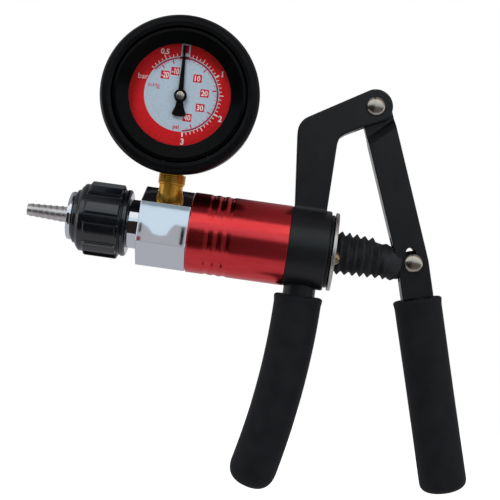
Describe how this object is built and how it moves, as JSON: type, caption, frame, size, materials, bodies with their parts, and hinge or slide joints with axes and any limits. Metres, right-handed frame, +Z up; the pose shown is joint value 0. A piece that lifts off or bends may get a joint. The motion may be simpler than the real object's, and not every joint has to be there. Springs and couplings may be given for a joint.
{
  "type": "hand vacuum pump",
  "caption": "Hand-held vacuum pump: squeeze lever driving a sprung piston in a turned barrel, selector knob with a hose barb, and a booted dial gauge on top.",
  "frame": {"origin": "the place where a hand holds the fixed grip, at the middle of that grip on its centre line; the barrel's axis lies 70 mm above it", "axes": "+X along the barrel from the hose barb towards the squeeze lever, +Z up through the gauge, -Y is the side that the dial faces"},
  "size_m": [0.2326, 0.0395, 0.2245],
  "materials": {
    "red_anodised": "turned and anodised red, glossy",
    "chrome": "bright chrome plate",
    "steel": "bright turned steel",
    "brass": "turned brass",
    "bare_aluminium": "machined",
    "black_paint": "satin black coating on a casting",
    "knob_plastic": "moulded black, slight sheen",
    "bezel_plastic": "moulded black, glossy",
    "bellows_rubber": "moulded rubber",
    "grip_rubber": "dipped matt rubber",
    "boot_rubber": "moulded rubber, smooth",
    "seal_rubber": "smooth",
    "dial_enamel": "printed dial plate",
    "needle_black": "matt black",
    "lens": "clear"
  },
  "bodies": {
    "pump_body": {"hose_barb": "steel", "nozzle_flange": "chrome", "spindle": "chrome", "spindle_seal_front": "seal_rubber", "spindle_seal_rear": "seal_rubber", "valve_block": "chrome", "barrel_seal": "seal_rubber", "inlet_cage": "brass", "outlet_cage": "brass", "inlet_spring": "steel", "outlet_spring": "steel", "pump_barrel": "red_anodised", "return_spring": "steel", "end_cap": "black_paint", "rod_bush": "brass", "end_plate": "steel", "plate_screw_front": "steel", "plate_screw_back": "steel", "bellows": "bellows_rubber", "handle_frame": "black_paint", "fixed_grip": "grip_rubber", "pivot_rivet": "chrome", "gauge_stem": "brass", "gauge_case": "black_paint", "gauge_boot": "boot_rubber", "gauge_bezel": "bezel_plastic", "gauge_lens": "lens", "gauge_dial": "dial_enamel", "movement_plate_back": "brass", "movement_plate_front": "brass", "movement_post_upper": "brass", "movement_post_lower": "brass", "bourdon_tube": "brass"},
    "squeeze_lever": {"lever": "black_paint", "lever_grip": "grip_rubber"},
    "rod_and_piston": {"piston_rod": "steel", "piston": "bare_aluminium", "piston_seal": "seal_rubber", "rod_nut": "steel", "drive_pin": "chrome"},
    "knob": {"selector_knob": "knob_plastic"},
    "needle": {"gauge_needle": "needle_black", "pinion_arbor": "steel"},
    "sector": {"sector_gear": "brass"},
    "link": {"movement_link": "brass"},
    "inlet_valve": {"inlet_ball": "steel"},
    "outlet_valve": {"outlet_ball": "steel"}
  },
  "joints": [
    {"name": "lever_pivot", "type": "hinge", "parent": "pump_body", "child": "squeeze_lever", "pos_m": [0.0277, 0, 0.1434], "axis": [0, 1, 0], "range_deg": [0, 14], "stiffness_Nm_per_rad": 4, "springref_deg": -8.59},
    {"name": "rod_slide", "type": "slide", "parent": "pump_body", "child": "rod_and_piston", "axis": [-1, 0, 0], "range_m": [0, 0.0192], "deforming": ["bellows", "return_spring"]},
    {"name": "selector_turn", "type": "hinge", "parent": "pump_body", "child": "knob", "pos_m": [-0.098, 0, 0.07], "axis": [1, 0, 0], "range_deg": [0, 180]},
    {"name": "needle_turn", "type": "hinge", "parent": "pump_body", "child": "needle", "pos_m": [-0.0672, 0, 0.1348], "axis": [0, 1, 0], "range_deg": [-57, 171], "stiffness_Nm_per_rad": 0.002},
    {"name": "sector_turn", "type": "hinge", "parent": "pump_body", "child": "sector", "pos_m": [-0.0672, 0, 0.1204], "axis": [0, 1, 0], "range_deg": [-21.5, 7.3]},
    {"name": "link_turn", "type": "hinge", "parent": "sector", "child": "link", "pos_m": [-0.0708, 0, 0.1155], "axis": [0, 1, 0], "range_deg": [-7.3, 21.5]},
    {"name": "inlet_valve_lift", "type": "slide", "parent": "pump_body", "child": "inlet_valve", "axis": [1, 0, 0], "range_m": [0, 0.0012], "stiffness_N_per_m": 50, "springref_m": -0.002, "deforming": ["inlet_spring"]},
    {"name": "outlet_valve_lift", "type": "slide", "parent": "pump_body", "child": "outlet_valve", "axis": [-1, 0, 0], "range_m": [0, 0.0012], "stiffness_N_per_m": 50, "springref_m": -0.002, "deforming": ["outlet_spring"]}
  ],
  "couplings": [
    {"joint": "rod_slide", "follows": "lever_pivot", "m_per_rad": 0.0785},
    {"joint": "sector_turn", "follows": "needle_turn", "ratio": -0.125},
    {"joint": "link_turn", "follows": "needle_turn", "ratio": 0.125}
  ]
}
